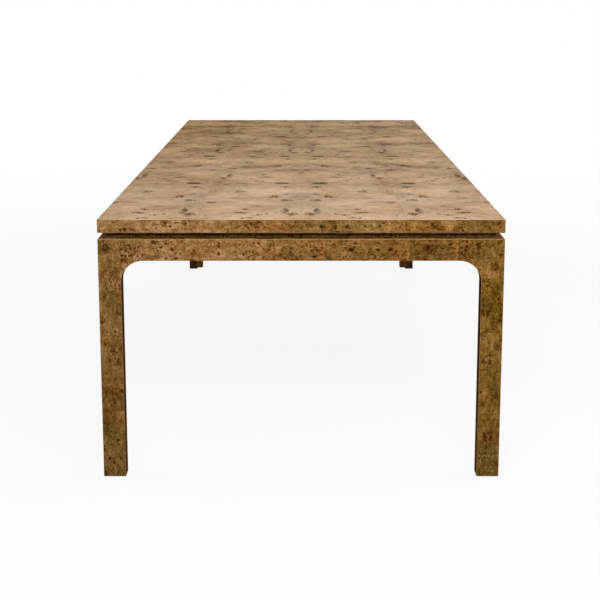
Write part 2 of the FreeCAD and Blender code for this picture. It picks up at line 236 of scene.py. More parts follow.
leafSettings = {
    # sizes of the leaves in turn: along an apron from its left, and down a leg from its corner
    "apron": (0.117, 0.234, 0.164, 0.235),
    "leftLeg": (0.166, 0.222),
    "rightLeg": (0.157, 0.260, 0.103),
    "slabEdge": (0.376, 0.499),
    "cornerDrop": 0.052,
    "smallest": 0.060,
    "openLeaf": 4,
    "bendSteps": 24,
    "arris": 0.0008,
    "arrisSteps": 3,
    "sharpAngle": 12,
    # the share of the arris that each kind of edge is eased by
    "easing": {"arris": 1.0, "joint": 0.12, "open": 0.5, "butt": 0.0},
    # what the distance to a joint is multiplied by: the less, the wider it looks
    "jointGap": {"joint": 1.0, "open": 0.22},
    # a face between these slopes is an eased arris, painted lighter: wear with a painted highlight
    "wearAndHighlightSlope": (0.2, 0.98),
    # the numbers that make a leaf's tone and hue from its cut
    "chance": (12.9898, 43758.5453, 7),
    "hueReach": 0.6,
    # tones of the leaves in the shadow line: painted shade darkens the sides' leaves, and painted light
    # lightens the corner leaves of the sides' ledges
    "endTone": 0.0,
    "sidePaintedShade": -1.5,
    "cornerPaintedLight": 1.2,
    # how near counts as touching, and as inside a leaf
    "touching": 1e-6,
    "inside": 1e-4,
}
# tones and hues of the near end's leaves: the apron's from the left, then each leg's from the top
# along the apron and the slab's edge the tones fall from left to right: in part the leaves' own tones, in
# part painted shade for light from the left
endLeaves = {
    "near_end_face_veneer": (
        (0.2, 0.35, -0.1, -0.3, -0.4, 0.3, 0.1, -0.1, -0.2, -0.15, -0.4, 0.2, -0.2, -0.1),
        (0.1, 0.0, 0.2, 0.3, 0.4, 0.1, 0.2, 0.4, 0.3, 0.5, 1.0, 0.9, 0.8, 0.8),
    ),
    "top_edge_band_near": ((0.75, -0.05, -0.45), (0.0, 0.3, 0.5)),
}
# cuts 0 and 1 are the top's
nextCut = [2]


def leafJoints(start, end, widths):
    towards = 1 if end > start else -1
    joints = []
    at = start
    while abs(end - at) - widths[len(joints) % len(widths)] >= leafSettings["smallest"]:
        at += towards * widths[len(joints) % len(widths)]
        joints.append(at)
    return joints


def stopsTo(end, widths="apron", lap=0):
    # from -end to end, with the joints between; a lap is the part that another piece covers
    return [-end, *leafJoints(-end - lap, end + lap, leafSettings[widths]), end]


def pairs(stops):
    stops = sorted(stops)
    return list(zip(stops, stops[1:]))


def newLeaf(outline, sides, cut=None, flip=(1, 1), tone=None, turned=False):
    # sides: what the left, right, bottom and top edges are: an arris, a joint, a wide dark seam or a butt
    if cut is None:
        cut = nextCut[0]
        nextCut[0] += 1
    us, vs = zip(*outline)
    first, second, third = leafSettings["chance"]
    chance = math.sin(cut * first) * second
    if tone is None:
        tone = chance % 1 - 0.5
    return {
        "outline": outline, "sides": sides, "cut": cut, "flip": flip, "turned": turned,
        "u": (min(us), max(us)), "v": (min(vs), max(vs)), "tone": tone,
        "hue": chance * third % 1 * leafSettings["hueReach"],
    }


def oblong(u, v):
    return [(u[0], v[0]), (u[1], v[0]), (u[1], v[1]), (u[0], v[1])]


def strip(stops, v, sides, **more):
    # leaves laid in a row; sides are those of the whole strip
    spans = pairs(stops)
    leaves = []
    for index, u in enumerate(spans):
        left = sides[0] if index == 0 else "joint"
        right = sides[1] if index == len(spans) - 1 else "joint"
        leaves.append(newLeaf(oblong(u, v), (left, right, sides[2], sides[3]), **more))
    return leaves


def edgeKind(leaf, p, q):
    limits = [(axis, at) for axis, side in enumerate("uv") for at in leaf[side]]
    for kind, (axis, at) in zip(leaf["sides"], limits):
        if max(abs(p[axis] - at), abs(q[axis] - at)) < leafSettings["touching"]:
            return kind
    return "arris"


def layLeaves(mesh, sheets):
    # each leaf a closed prism, with bevel weights on the edges of its face
    shape = bmesh.new()
    weight = shape.edges.layers.float.new("bevel_weight_edge")
    for sheet in sheets:
        for leaf in sheet["leaves"]:
            rings = []
            for depth in (0, veneer):
                points = [sheet["place"] @ Vector((u, depth, v)) for u, v in leaf["outline"]]
                rings.append([shape.verts.new(point) for point in points])
            front, back = rings
            shape.faces.new(front)
            shape.faces.new(back[::-1])
            count = len(front)
            for index in range(count):
                after = (index + 1) % count
                shape.faces.new((front[after], front[index], back[index], back[after]))
                edge = shape.edges.get((front[index], front[after]))
                kind = edgeKind(leaf, leaf["outline"][index], leaf["outline"][after])
                edge[weight] = leafSettings["easing"][kind]
    outwards(shape, mesh)


def outwards(shape, mesh):
    # the shape into the mesh, its faces turned outwards
    bmesh.ops.recalc_face_normals(shape, faces=shape.faces)
    shape.to_mesh(mesh)
    shape.free()


def easeEdges(piece):
    bevel = piece.modifiers.new("eased", "BEVEL")
    bevel.limit_method = "WEIGHT"
    bevel.width = leafSettings["arris"]
    bevel.segments = leafSettings["arrisSteps"]
    bevel.use_clamp_overlap = False


def settled(name, maker):
    # the evaluated shape as a plain mesh piece of its own, standing where it was made
    graph = bpy.context.evaluated_depsgraph_get()
    mesh = bpy.data.meshes.new_from_object(maker.evaluated_get(graph))
    source = maker.data
    bpy.data.objects.remove(maker)
    bpy.data.meshes.remove(source)
    shape = bmesh.new()
    shape.from_mesh(mesh)
    outwards(shape, mesh)
    mesh.name = name
    return newObject(name, mesh)


def rounded(piece, degrees):
    piece.data.shade_smooth()
    piece.data.set_sharp_from_angle(angle=math.radians(degrees))


def figureOf(leaf, u, v, depth):
    # the place on the log that shows at a place on the leaf, which a trim doesn't move
    left, right = leaf.get("full", leaf["u"])
    along = u - left if leaf["flip"][0] > 0 else right - u
    across = v - leaf["v"][0] if leaf["flip"][1] > 0 else leaf["v"][1] - v
    if leaf["turned"]:
        along, across = across, along
    return (leaf["cut"] + along, across, depth)


def jointsOf(leaf, u, v):
    away = (u - leaf["u"][0], leaf["u"][1] - u, v - leaf["v"][0], leaf["v"][1] - v)
    wide = leafSettings["jointGap"]
    return [gap * wide[side] if side in wide else 1.0 for gap, side in zip(away, leaf["sides"])]


def leafAt(sheet, u, v, depth):
    slack = leafSettings["inside"]
    if -slack < depth < sheet.get("depth", veneer) + slack:
        for leaf in sheet["leaves"]:
            (left, right), (bottom, top) = leaf["u"], leaf["v"]
            if left - slack < u < right + slack and bottom - slack < v < top + slack:
                return leaf
    return None


def paintLeaves(piece, sheets, unroll=None):
    # attributes that burl reads: place on the log, gaps to the joints, then tone, hue, and wear with a
    # painted highlight
    mesh = piece.data
    kinds = {"log": "FLOAT_VECTOR", "joints": "FLOAT_COLOR", "leafSort": "FLOAT_VECTOR"}
    for label, kind in kinds.items():
        mesh.attributes.new(label, kind, "CORNER")
    log, joints, leafSort = [mesh.attributes[label].data for label in kinds]
    backs = [(sheet, sheet["place"].inverted()) for sheet in sheets]
    flat, steep = leafSettings["wearAndHighlightSlope"]
    for face in mesh.polygons:
        for sheet, back in backs:
            local = back @ face.center
            u, v = unroll(sheet, local) if unroll else (local.x, local.z)
            leaf = leafAt(sheet, u, v, local.y)
            if leaf:
                break
        if not leaf:
            raise ValueError(f"no leaf for a face of {piece.name} at {tuple(face.center)}")
        slope = abs((back.to_3x3() @ face.normal).y)
        # an eased arris is painted lighter: wear with a painted highlight
        wearAndHighlight = 1.0 if flat < slope < steep and not unroll else 0.0
        for corner in face.loop_indices:
            point = back @ mesh.vertices[mesh.loops[corner].vertex_index].co
            u, v = unroll(sheet, point) if unroll else (point.x, point.z)
            log[corner].vector = figureOf(leaf, u, v, point.y)
            joints[corner].color = jointsOf(leaf, u, v)
            leafSort[corner].vector = (leaf["tone"], leaf["hue"], wearAndHighlight)


def handIn(piece, material, node):
    # a finished piece: its material, the node it stands for and its body
    piece.data.materials.clear()
    piece.data.materials.append(material)
    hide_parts(node)
    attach(piece, "root")


def veneered(node, sheets):
    maker = newObject("maker", bpy.data.meshes.new("maker"))
    layLeaves(maker.data, sheets)
    easeEdges(maker)
    piece = settled(node + "_leaves", maker)
    paintLeaves(piece, sheets)
    rounded(piece, leafSettings["sharpAngle"])
    return piece


# Base: four arched frames. The ends run through at the corners, the sides fit between them.

baseFrames = [
    {"name": "near_end", "half": halfWidth, "turn": 0, "at": (0, -halfLength)},
    {"name": "far_end", "half": halfWidth, "turn": 180, "at": (0, halfLength)},
    {"name": "right_side", "half": halfLength, "turn": 90, "at": (halfWidth, 0)},
    {"name": "left_side", "half": halfLength, "turn": -90, "at": (-halfWidth, 0)},
]
for each in baseFrames:
    turned = Matrix.Rotation(math.radians(each["turn"]), 4, "Z")
    each["place"] = Matrix.Translation((*each["at"], 0)) @ turned
    each["bend"] = each["half"] - legWidth - bendRadius
    each["isEnd"] = each["name"].endswith("end")
    # how much of a side's length the end's veneer covers, and so what the leaves' outer edge is
    each["lap"], each["outerEdge"] = (0, "arris") if each["isEnd"] else (veneer, "butt")
# lengths of a leg's straight edge and of a bend's quarter round
legRun = bendLevel - legBottom
bendRun = math.pi / 2 * bendRadius

# a sheet that lies flat, face up: D turns down, V turns to what was D
layFlat = Matrix(((1, 0, 0, 0), (0, 0, 1, 0), (0, -1, 0, 0), (0, 0, 0, 1)))


def innerEdge(each, side, low, high):
    # the edge of the opening from one level up to another
    inner = side * (each["half"] - legWidth)
    points = [(inner, low)] if low < bendLevel else []
    if high > bendLevel:
        shares = [min(max((level - bendLevel) / bendRadius, 0), 1) for level in (low, high)]
        first, last = [math.asin(share) for share in shares]
        steps = max(1, round((last - first) / (math.pi / 2) * leafSettings["bendSteps"]))
        for step in range(steps + 1):
            angle = first + (last - first) * step / steps
            u = side * (each["bend"] + bendRadius * math.cos(angle))
            points.append((u, bendLevel + bendRadius * math.sin(angle)))
    if high < bendLevel:
        points.append((inner, high))
    if high > apronBottom:
        points.append((side * each["bend"], high))
    return points


def legLeaves(each, side, reach, outerEdge):
    lengths = leafSettings["leftLeg" if side < 0 else "rightLeg"]
    outer = side * (each["half"] - reach)
    cornerBottom = apronBottom - leafSettings["cornerDrop"]
    down = leafJoints(cornerBottom, legBottom, lengths)
    leaves = []
    for low, high in pairs([legBottom, *down, cornerBottom, apronTop])[::-1]:
        bottom = "arris" if low == legBottom else "joint"
        top, opening = ("arris", "joint") if high == apronTop else ("joint", "arris")
        across = (outerEdge, opening) if side < 0 else (opening, outerEdge)
        outline = [(outer, high), (outer, low), *innerEdge(each, side, low, high)]
        leaves.append(newLeaf(outline, (*across, bottom, top), turned=True))
    return leaves


def archLeaves(each, reach, outerEdge):
    levels = (apronBottom, apronTop)
    leaves = strip(stopsTo(each["bend"]), levels, ("joint", "joint", "arris", "arris"))
    for side in (-1, 1):
        leaves += legLeaves(each, side, reach, outerEdge)
    return leaves


def faceSheet(each):
    return {"place": each["place"], "leaves": archLeaves(each, each["lap"], each["outerEdge"])}


def insideSheet(each):
    # its face looks into the knee space, so it is turned about to have D run into the board
    reach = frameDepth - veneer + each["lap"]
    about = Matrix.Translation((0, frameDepth, 0)) @ Matrix.Rotation(math.pi, 4, "Z")
    return {"place": each["place"] @ about, "leaves": archLeaves(each, reach, "butt")}


def paintedLineShade(each):
    # in the shadow line the sides' leaves are darker: painted shade
    return leafSettings["endTone" if each["isEnd"] else "sidePaintedShade"]


def ledgeSheet(each):
    end = each["half"] - (veneer if each["isEnd"] else frameDepth - veneer)
    levels = (veneer, frameDepth - veneer)
    leaves = strip(stopsTo(end), levels, ("butt",) * 4, tone=paintedLineShade(each))
    # painted light: the corner leaves of the sides' ledges are lighter
    if not each["isEnd"]:
        leaves[0]["tone"] = leaves[-1]["tone"] = leafSettings["cornerPaintedLight"]
    lay = Matrix.Translation((0, 0, apronTop)) @ layFlat
    return {"place": each["place"] @ lay, "leaves": leaves}


def bandSheet(each, inset, stops, levels, edges, **more):
    # a band round the table: the ends' bands run through, and the sides' butt against them
    sides = (each["outerEdge"], each["outerEdge"], *edges)
    lay = Matrix.Translation((0, inset, 0))
    return {"place": each["place"] @ lay, "leaves": strip(stops, levels, sides, **more)}


def revealSheet(each):
    stops = stopsTo(each["half"] - revealInset - each["lap"], lap=each["lap"])
    levels = (apronTop, slabBottom)
    # its bottom edge is a wide dark seam: a painted shadow line where the wall meets the ledge
    return bandSheet(each, revealInset, stops, levels, ("open", "butt"), tone=paintedLineShade(each))


def slabEdgeSheet(each):
    # opposite bands have their joints opposite each other
    towards = -1 if each["turn"] in (180, -90) else 1
    stops = [towards * stop for stop in stopsTo(each["half"] - each["lap"], "slabEdge")]
    return bandSheet(each, 0, stops, (slabBottom + veneer, tableTop - veneer), ("joint", "joint"))


# Arch lining: one strip swept along each opening by Geometry Nodes

def newTree(name, numbers, counts=()):
    # every tree also takes a shape and a material
    tree = bpy.data.node_groups.new(name, "GeometryNodeTree")
    inputs = [("Geometry", "Geometry"), *[(label, "Float") for label in numbers],
              *[(label, "Int") for label in counts], ("Material", "Material")]
    for label, kind in inputs:
        tree.interface.new_socket(label, in_out="INPUT", socket_type="NodeSocket" + kind)
    tree.interface.new_socket("Geometry", in_out="OUTPUT", socket_type="NodeSocketGeometry")
    start = Wire(tree)
    return tree, start, start.add("NodeGroupInput", {}, {})


def endTree(start, given, shape):
    # the shape made real, with its material on
    real = start.add("GeometryNodeRealizeInstances", {}, {"Geometry": shape})
    dressed = {"Geometry": real, "Material": given.also("Material")}
    done = start.add("GeometryNodeSetMaterial", {}, dressed)
    start.add("NodeGroupOutput", {}, {0: done})


def grown(points, edges, tree, values):
    # an object of points and edges with the tree on it, its inputs set by their identifiers
    mesh = bpy.data.meshes.new("maker")
    mesh.from_pydata(points, edges, [])
    maker = newObject("maker", mesh)
    modifier = maker.modifiers.new("grown", "NODES")
    modifier.node_group = tree
    for item in tree.interface.items_tree:
        if item.in_out == "INPUT" and item.name in values:
            modifier[item.identifier] = values[item.name]
    return maker


def liningTree():
    tree, start, given = newTree("archLining", ["radius", "thickness", "depth"], ["bendSteps"])
    path = start.add("GeometryNodeMeshToCurve", {}, {"Mesh": given})
    fillet = {"Curve": path, "Count": given.also("bendSteps"), "Radius": given.also("radius")}
    bends = start.add("GeometryNodeFilletCurve", {"mode": "POLY"}, fillet)
    section = {"Width": given.also("thickness"), "Height": given.also("depth")}
    profile = start.add("GeometryNodeCurvePrimitiveQuadrilateral", {}, section)
    sweep = {"Curve": bends, "Profile Curve": profile, "Fill Caps": True}
    endTree(start, given, start.add("GeometryNodeCurveToMesh", {}, sweep))
    return tree


def liningStops(each):
    # lengths along the arch at which its leaves meet, from the left foot
    middle = legRun + bendRun + each["bend"]
    soffit = [middle + stop for stop in stopsTo(each["bend"])]
    return [0, legRun, *soffit, soffit[-1] + bendRun, soffit[-1] + bendRun + legRun]


def alongArch(sheet, point):
    # how far along the arch a place on its lining is, from the left foot
    bend = sheet["bend"]
    side = -1 if point.x < 0 else 1
    fromMiddle = side * point.x
    beyond = fromMiddle - bend
    if beyond > 0 and point.z > bendLevel:
        fromMiddle = bend + bendRadius * math.atan2(beyond, point.z - bendLevel)
    elif beyond > 0:
        fromMiddle = bend + bendRun + bendLevel - point.z
    return legRun + bendRun + bend + side * fromMiddle, point.y


def liningPiece(each, tree, material):
    half = each["half"] - legWidth + veneer / 2
    top = apronBottom + veneer / 2
    corners = [(-half, legBottom), (-half, top), (half, top), (half, legBottom)]
    # the sweep turns its section by the plane of the path, so every arch is grown as the near one
    path = [(u, frameDepth / 2, v) for u, v in corners]
    maker = grown(path, [(0, 1), (1, 2), (2, 3)], tree, {
        "radius": bendRadius + veneer / 2, "bendSteps": leafSettings["bendSteps"],
        "thickness": veneer, "depth": frameDepth - 2 * veneer, "Material": material,
    })
    piece = settled(each["name"] + "_arch_lining_leaves", maker)
    piece.data.transform(each["place"])
    levels = (veneer, frameDepth - veneer)
    leaves = strip(liningStops(each), levels, ("arris", "arris", "butt", "butt"))
    sheet = {"place": each["place"], "leaves": leaves, "bend": each["bend"], "depth": frameDepth}
    paintLeaves(piece, [sheet], alongArch)
    rounded(piece, leafSettings["sharpAngle"])
    return piece


# Top: rows of leaves from two alternating slices, laid out from the centre joint by Geometry Nodes

topSettings = {
    "leafWidth": 0.295,
    "columns": 2,
    # each row from the near end: its slice, and which way round that is laid across and along
    "rows": ((0, 1, 1), (1, 1, 1), (0, -1, 1), (1, 1, 1), (0, 1, 1), (1, 1, -1), (0, 1, 1), (1, 1, -1)),
    # painted sheen: the top's hue runs from 0 at the near row, pale and pinkish, to this at the far row
    "farHue": 0.85,
    "jointGap": 0.00004,
}


def leafFieldTree():
    # a grid of leaf middles, each with its own block; the outermost column is cut to the width
    numbers = ["side", "reach", "leafWidth", "length", "thickness", "level", "jointGap", "jointShare"]
    tree, start, given = newTree("topLeaves", numbers, ["columns", "rows"])
    side, reach, leafWidth, length, thickness, level, jointGap, jointShare = given.outs(*numbers)
    columns, rows = given.outs("columns", "rows")
    leafLength = length / rows
    size = {"Size X": columns - 1, "Size Y": rows - 1, "Vertices X": columns, "Vertices Y": rows}
    grid = start.add("GeometryNodeMeshGrid", {}, size)
    x, y, _ = start.add("GeometryNodeInputPosition", {}, {}).parts()
    inner = start.sum("ROUND", x + (columns - 1) / 2) * leafWidth
    outer = (inner + leafWidth).least(reach)
    placed = start.point((inner + outer) / 2 * side, y * leafLength, level - thickness / 2)
    sized = start.point(outer - inner - jointGap, leafLength - jointGap, thickness)
    # the sizes are kept on the points before they move, because both are read from the grid
    kept = start.kept("leafSize", sized, grid, "FLOAT_VECTOR", "POINT")
    moved = start.add("GeometryNodeSetPosition", {}, {"Geometry": kept, "Position": placed})
    block = {"Instance": start.add("GeometryNodeMeshCube", {}, {}), "Scale": start.named("leafSize")}
    blocks = start.add("GeometryNodeInstanceOnPoints", {}, {"Points": moved, **block})
    leaves = start.add("GeometryNodeRealizeInstances", {}, {"Geometry": blocks})
    # bevel weights: full on the table's own edges, slight at the joints, none below the face
    x, y, z = start.add("GeometryNodeInputPosition", {}, {}).parts()
    slack = jointGap * 2
    atSide = start.sum("ABSOLUTE", x).over(reach - slack)
    atEnd = start.sum("ABSOLUTE", y).over(length / 2 - slack)
    weight = z.over(level - thickness / 4) * atSide.most(atEnd).most(jointShare)
    endTree(start, given, start.kept("bevel_weight_edge", weight, leaves, "FLOAT", "EDGE"))
    return tree


def topPiece(node, side, tree, material):
    rows, leafWidth = topSettings["rows"], topSettings["leafWidth"]
    length, lastRow = 2 * halfLength, len(rows) - 1
    leafLength = length / len(rows)
    maker = grown([(0, 0, 0)], [], tree, {
        **topSettings, "side": float(side), "reach": halfWidth, "length": length, "rows": len(rows),
        "thickness": veneer, "level": tableTop, "jointShare": leafSettings["easing"]["joint"],
        "Material": material,
    })
    easeEdges(maker)
    piece = settled(node + "_leaves", maker)
    leaves = []
    for row, (cut, across, along) in enumerate(rows):
        v = (row * leafLength - halfLength, (row + 1) * leafLength - halfLength)
        ends = ("arris" if row == 0 else "joint", "arris" if row == lastRow else "joint")
        for column in range(topSettings["columns"]):
            inner, full = column * leafWidth, (column + 1) * leafWidth
            outer = min(full, halfWidth)
            outerEdge = "arris" if outer == halfWidth else "joint"
            edges = ("joint", outerEdge) if side > 0 else (outerEdge, "joint")
            outline = oblong(sorted((side * inner, side * outer)), v)
            leaf = newLeaf(outline, (*edges, *ends), cut, (across * side, along), 0)
            # the painted sheen fades towards the far end, where the top turns darker and yellower
            leaf["hue"] = topSettings["farHue"] * row / lastRow
            leaf["full"] = sorted((side * inner, side * full))
            leaves.append(leaf)
    lay = Matrix.Translation((0, 0, tableTop)) @ layFlat
    paintLeaves(piece, [{"place": lay, "leaves": leaves}])
    rounded(piece, leafSettings["sharpAngle"])
    return piece


# Wood screws: one grown by Geometry Nodes at every head, with a cross recess and a thread

screwSettings = {
    "headRadius": 0.0044,
    "headHeight": 0.0026,
    "coreRadius": 0.0016,
    "threadDepth": 0.0006,
    "pitch": 0.0022,
    "plainShare": 0.35,
    "recessWidth": 0.0048,
    "recessSlot": 0.0009,
    "recessDepth": 0.0032,
    "tip": 0.005,
    # the shank starts inside the head, under the recess, and the tip starts inside the shank
    "shankStart": 0.8,
    "tipLap": 1.1,
    "tipBase": 0.98,
    "tipEnd": 0.05,
}
screwSteps = {"sides": 20, "turnSteps": 12, "ridgeSides": 3}
screwReading = {"merge": 1e-6, "level": 1e-5, "sharpAngle": 35}


def separate(shape):
    # the vertices of each solid of a mesh
    seen = set()
    for first in shape.verts:
        if first in seen:
            continue
        seen.add(first)
        solid = [first]
        for vertex in solid:
            for edge in vertex.link_edges:
                other = edge.other_vert(vertex)
                if other not in seen:
                    seen.add(other)
                    solid.append(other)
        yield solid


def screwPlaces(node):
    # each solid of the node is one screw: its head lies at the wider end
    source = frame["nodes"][node]
    shape = bmesh.new()
    shape.from_mesh(source.data)
    bmesh.ops.remove_doubles(shape, verts=shape.verts, dist=screwReading["merge"])
    places = []
    for solid in separate(shape):
        points = [source.matrix_world @ vertex.co for vertex in solid]
        low, high = [Vector([pick(values) for values in zip(*points)]) for pick in (min, max)]
        size = list(high - low)
        axis = size.index(max(size))
        ends = []
        for level in (low[axis], high[axis]):
            end = (low + high) / 2
            end[axis] = level
            rim = [point for point in points if abs(point[axis] - level) < screwReading["level"]]
            ends.append((max((point - end).length for point in rim), end))
        (_, tip), (_, head) = sorted(ends, key=lambda found: found[0])
        places.append((head, tip))
    shape.free()
    return places


def lifted(start, made, level):
    # a shape of the tree raised to a level along the screw
    return start.add("GeometryNodeTransform", {}, {"Geometry": made, "Translation": start.point(z=level)})


def cone(start, sides, low, high, fromLevel, toLevel):
    # a length of the screw: its radius is low at the one level and high at the other
    size = {"Vertices": sides, "Radius Bottom": low, "Radius Top": high, "Depth": toLevel - fromLevel}
    return lifted(start, start.add("GeometryNodeMeshCone", {"fill_type": "NGON"}, size), fromLevel)


def screwTree():
    tree, start, given = newTree("woodScrews", ["length", *screwSettings], screwSteps)
    length, tip, core, headHeight = given.outs("length", "tip", "coreRadius", "headHeight")
    sides, turnSteps, ridgeSides = given.outs(*screwSteps)
    head = cone(start, sides, given.also("headRadius"), core, 0.0, headHeight)
    wide, slot, deep = given.outs("recessWidth", "recessSlot", "recessDepth")
    arms = [start.add("GeometryNodeMeshCube", {}, {"Size": start.point(*size)})
            for size in ((wide, slot, deep), (slot, wide, deep))]
    cut = {"operation": "DIFFERENCE", "solver": "EXACT"}
    recessed = start.add("GeometryNodeMeshBoolean", cut, {"Mesh 1": head, "Mesh 2": arms})
    shank = cone(start, sides, core, core, headHeight * given.also("shankStart"), length - tip)
    tipLow, tipHigh = core * given.also("tipBase"), core * given.also("tipEnd")
    point = cone(start, sides, tipLow, tipHigh, length - tip * given.also("tipLap"), length)
    run = (length - tip) * (1 - given.also("plainShare"))
    spiral = {"Resolution": turnSteps, "Rotations": run / given.also("pitch"),
              "Start Radius": core, "End Radius": core, "Height": run}
    helix = start.add("GeometryNodeCurveSpiral", {}, spiral)
    section = {"Resolution": ridgeSides, "Radius": given.also("threadDepth")}
    ridge = start.add("GeometryNodeCurvePrimitiveCircle", {"mode": "RADIUS"}, section)
    sweep = {"Curve": helix, "Profile Curve": ridge, "Fill Caps": True}
    thread = lifted(start, start.add("GeometryNodeCurveToMesh", {}, sweep), length - tip - run)
    screw = start.add("GeometryNodeJoinGeometry", {}, {"Geometry": [recessed, shank, point, thread]})
    turned = start.add("FunctionNodeAlignRotationToVector", {"axis": "Z"}, {"Vector": start.named("aim")})
    copies = {"Points": given, "Instance": screw, "Rotation": turned}
    endTree(start, given, start.add("GeometryNodeInstanceOnPoints", {}, copies))
    return tree


def screwPiece(node, tree, material):
    places = screwPlaces(node)
    length = (places[0][1] - places[0][0]).length
    values = {**screwSettings, **screwSteps, "length": length, "Material": material}
    maker = grown([head for head, tip in places], [], tree, values)
    aims = maker.data.attributes.new("aim", "FLOAT_VECTOR", "POINT")
    for aim, (head, tip) in zip(aims.data, places):
        aim.vector = (tip - head).normalized()
    piece = settled(node + "_threaded", maker)
    rounded(piece, screwReading["sharpAngle"])
    print(node, len(places), "screws,", len(piece.data.polygons), "faces")
    return piece


# Burl: cloudy ground, curling growth lines, and dark eyes gathered in clusters

burlSettings = {
    # scale and reach of the noise that pushes the figure about
    "curl": (7, 0.050), "fineCurl": (45, 0.011), "roughCurl": (150, 0.0030), "fineShare": 0.3,
    # scale, detail and roughness of a noise
    "haze": (5, 3, 0.5), "clouds": (9, 2, 0.5), "mottle": (34, 3, 0.6), "strands": (50, 4, 0.65),
    "flecks": (240, 2, 0.6), "strandStretch": (0.85, 1.7, 1.0),
    # the same, and then where the noise rises from 0 to 1
    "clusters": (9, 2, 0.5, 0.55, 0.64), "halos": (50, 3, 0.6, 0.3, 0.65),
    "linePatches": (15, 2, 0.5, 0.38, 0.6), "seamBreaks": (30, 2, 0.5, 0.1, 0.5),
    # where a mark rises, as distance from its middle: 1 is its edge
    "clusterEdge": (1.15, 0.55),
    # how far a leaf's tone moves it along the ramp, and how much less it stains
    "toneReach": 0.2, "stainTone": 0.08,
    "lines": {"rise": (0.2, 1.0), "middle": 0.4, "clusterNoise": (60, 1, 0.5), "clusterCount": 5},
    "eyes": {"pull": 0.75, "chance": (1.0, 1.03), "smallest": 0.4, "edge": (1.15, 0.55)},
    # scale of each stain's noise, and where that rises from 0 to 1
    "stains": {"ochre": (6, 0.46, 0.66), "olive": (7, 0.48, 0.64), "grey": (5, 0.48, 0.62),
               "rose": (12, 0.48, 0.60)},
    "stainNoise": (4, 0.6), "stainShift": (0.31, 0.17, 0.4),
    "joint": (0.0009, 0.00015), "seamDepth": 0.6, "pores": (160, 3, 0.5), "poreHeight": 0.4,
    "dullness": (55, 3, 0.6), "roughness": (0.70, 0.82),
}
# the near end's knots: large ones with rings, small dark ones, single eyes and pits
knotSettings = {
    "ringCurl": (26, 0.010), "rings": 5, "ringRise": (-0.2, 1.0), "ringEdge": (1.15, 0.7),
    "ringDepth": 0.26, "ringClears": (0.8, 1.3), "ringCore": (0.22, 0.13),
    "knotRings": (1.6, 1.2), "knotRise": (-0.4, 0.8), "knotEdge": (1.7, 1.0), "knotDepth": 0.40,
    "breaks": (150, 2, 0.5, 0.36, 0.56), "fillEdge": (1.3, 0.7), "fillDepth": 0.28,
    "eyeEdge": (1.2, 0.7), "pitHalo": (2.1, 1.1), "pitDepth": 0.16, "pitEdge": (1.2, 0.6),
}
# weights: how much each noise moves the wood along its ramp of colours, which starts at level
# a colour and a number: what is laid over the wood, and by what share
baseLook = {
    "ramp": ((0.0, colour(70, 36, 6)), (1.0, colour(202, 157, 108)), (0.25, colour(108, 71, 27)),
             (0.5, colour(143, 101, 52)), (0.75, colour(167, 124, 74))),
    "level": 0.615,
    "weights": {"haze": 0.5, "clouds": 0.7, "mottle": 0.8, "strands": 1.4, "flecks": 1.2},
    "growthLines": (14, 12), "lineDepth": 0.26, "haloDepth": 0.12, "curlDepth": 0.30,
    "eyeCells": ((72, 0.47), (150, 0.36)), "eyeStretch": (1.0, 1.3, 1.0), "scatter": 0.05,
    "stains": {"ochre": ((1.05, 0.98, 0.80), 0.6), "olive": ((0.72, 0.82, 0.74), 0.7),
               "rose": ((1.10, 0.95, 0.92), 0.75)},
    "tint": (0.97, 0.98, 1.0), "yellow": (0.95, 1.0, 0.60),
    "eye": (colour(70, 30, 2), 0.88), "pit": (colour(40, 24, 5), 0.88),
    # colour of the eased arrises: wear with a painted highlight
    "wearAndHighlight": (colour(210, 166, 116), 0.75),
    "joint": (colour(52, 32, 12), 0.75), "gloss": 0.02, "relief": 0.00008,
    # how much of the clusters that come by chance shows, besides those with a place of their own
    "random": 1.0,
}
nearLook = dict(baseLook, random=0.45)
# the reveal is tinted darker and its seams nearly black: painted shade in the recess
revealShadeLook = dict(baseLook, tint=(0.76, 0.78, 0.66), joint=(colour(28, 16, 4), 0.9))
# the openings' lining is tinted far darker: painted shade inside the arches
liningShadeLook = dict(baseLook, tint=(0.40, 0.37, 0.32), gloss=0.0)
# the ledge under the slab is tinted darker: painted shade
ledgeShadeLook = dict(baseLook, tint=(0.72, 0.72, 0.74))
# the top is paler, pinker and cooler than the other veneer, partly a painted sheen of the lacquer
topLook = {
    "ramp": ((0.0, colour(82, 52, 30)), (1.0, colour(212, 179, 150)), (0.25, colour(137, 105, 75)),
             (0.5, colour(175, 143, 111)), (0.75, colour(192, 160, 128))),
    "level": 0.61,
    "weights": {"haze": 1.0, "clouds": 0.9, "mottle": 0.7, "strands": 0.9, "flecks": 0.6},
    "growthLines": (14, 30), "lineDepth": 0.06, "haloDepth": 0.40, "curlDepth": 0.0,
    "eyeCells": ((56, 0.50), (105, 0.42)), "eyeStretch": (1.7, 1.0, 1.0), "scatter": 0.02,
    "stains": {"ochre": ((1.05, 0.98, 0.82), 0.6), "olive": ((0.80, 0.86, 0.76), 0.5),
               "grey": ((0.74, 0.77, 0.82), 0.65)},
    "tint": (1.03, 1.05, 1.14), "yellow": (0.95, 0.83, 0.44),
    "eye": (colour(62, 32, 12), 0.92), "wearAndHighlight": (colour(190, 160, 124), 0.30),
    "joint": (colour(112, 86, 58), 0.35), "random": 0.0, "gloss": 0.02, "relief": 0.00008,
    "boldness": (0.78, 1.70), "clusterSize": (1.15, 1.5),
}

